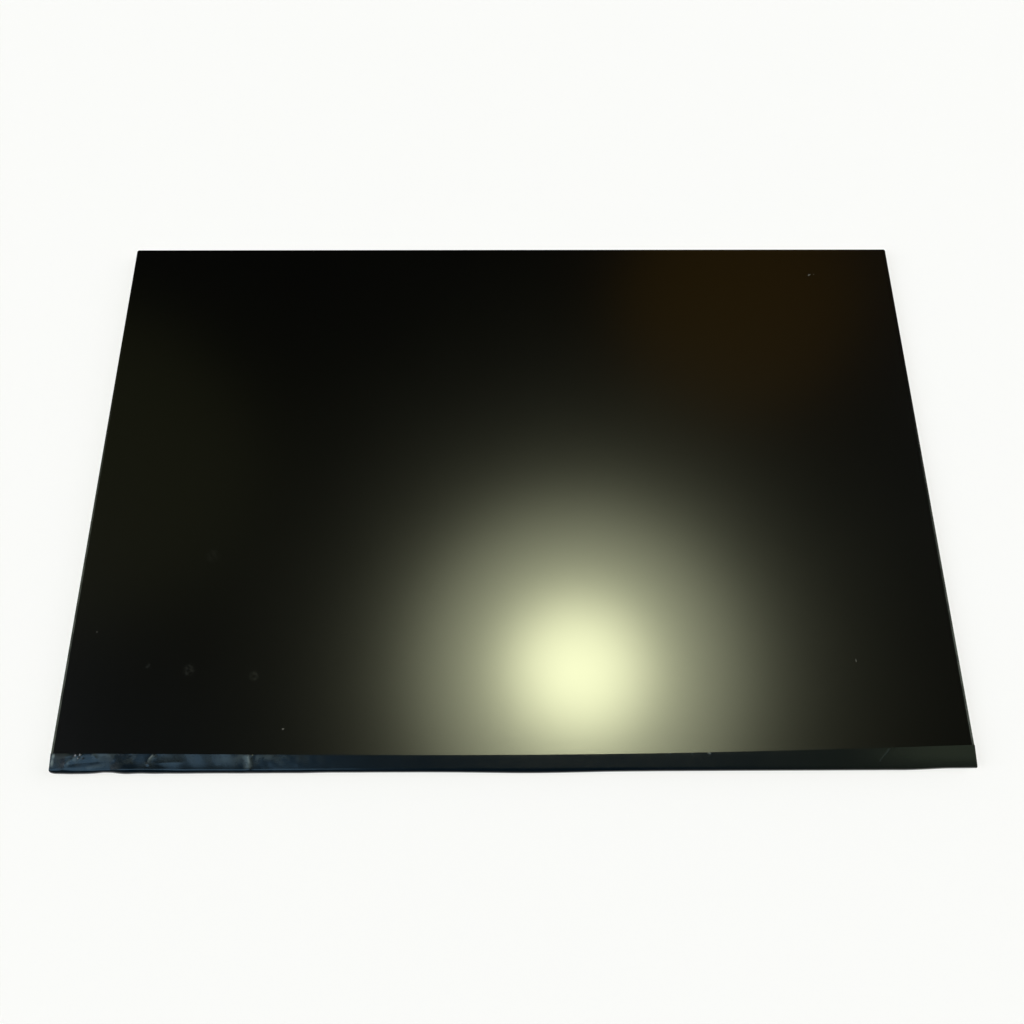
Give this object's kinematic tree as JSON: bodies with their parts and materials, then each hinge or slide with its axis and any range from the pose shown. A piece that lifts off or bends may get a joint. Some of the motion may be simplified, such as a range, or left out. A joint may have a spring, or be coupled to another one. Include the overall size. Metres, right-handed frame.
{
  "type": "laptop screen panel",
  "caption": "Thin bare laptop display module: matte black screen in a narrow frame, with a pressed metal back, a driver board behind its lower edge and a crinkled dark tape over that edge.",
  "frame": {"origin": "middle of the outline's width and height, at the lowest face of the film over the board, on which the panel lies", "axes": "+X to the right along the screen's width, +Y towards the screen's top edge, +Z out of the screen's face; the panel lies on its back"},
  "size_m": [0.308, 0.2006, 0.0035],
  "materials": {
    "front_polarizer": "matte anti-glare, black",
    "cell_glass": "clear, dark behind",
    "rear_polarizer": "glossy, dark grey",
    "black_tape": "matte black",
    "driver_tape": "satin, dark blue-grey, crinkled",
    "cover_film": "matte black",
    "frame_plastic": "matte dark grey",
    "prism_film": "clear, finely ribbed",
    "diffuser_film": "milky white",
    "guide_plastic": "clear",
    "reflector_film": "white",
    "chassis_metal": "rolled sheet, satin",
    "light_flex": "white cover layer",
    "diode_plastic": "white with a yellow window",
    "driver_film": "amber film with copper lines",
    "silicon": "dark grey, polished",
    "board_laminate": "green solder mask",
    "chip_package": "matte black",
    "inductor_ferrite": "dark grey ferrite",
    "capacitor_ceramic": "tan ceramic",
    "connector_plastic": "black",
    "connector_steel": "plated sheet",
    "contact_metal": "gold plated"
  },
  "bodies": {
    "root": {"front_polarizer": "front_polarizer", "array_glass": "cell_glass", "colour_filter_glass": "cell_glass", "rear_polarizer": "rear_polarizer", "cell_tape": "black_tape", "board_bond_tape": "black_tape", "driver_cover_tape": "driver_tape", "board_cover_film": "cover_film", "mould_frame": "frame_plastic", "upper_prism_sheet": "prism_film", "lower_prism_sheet": "prism_film", "diffuser_sheet": "diffuser_film", "light_guide": "guide_plastic", "reflector_sheet": "reflector_film", "rear_chassis": "chassis_metal", "light_flex": "light_flex", "light_diodes": "diode_plastic", "driver_film_1": "driver_film", "driver_film_2": "driver_film", "driver_film_3": "driver_film", "driver_film_4": "driver_film", "driver_chip_1": "silicon", "driver_chip_2": "silicon", "driver_chip_3": "silicon", "driver_chip_4": "silicon", "control_board": "board_laminate", "timing_controller": "chip_package", "power_chip": "chip_package", "gamma_chip": "chip_package", "power_inductors": "inductor_ferrite", "board_capacitors": "capacitor_ceramic", "connector_housing": "connector_plastic", "connector_shell": "connector_steel", "connector_contacts": "contact_metal"}
  },
  "joints": []
}
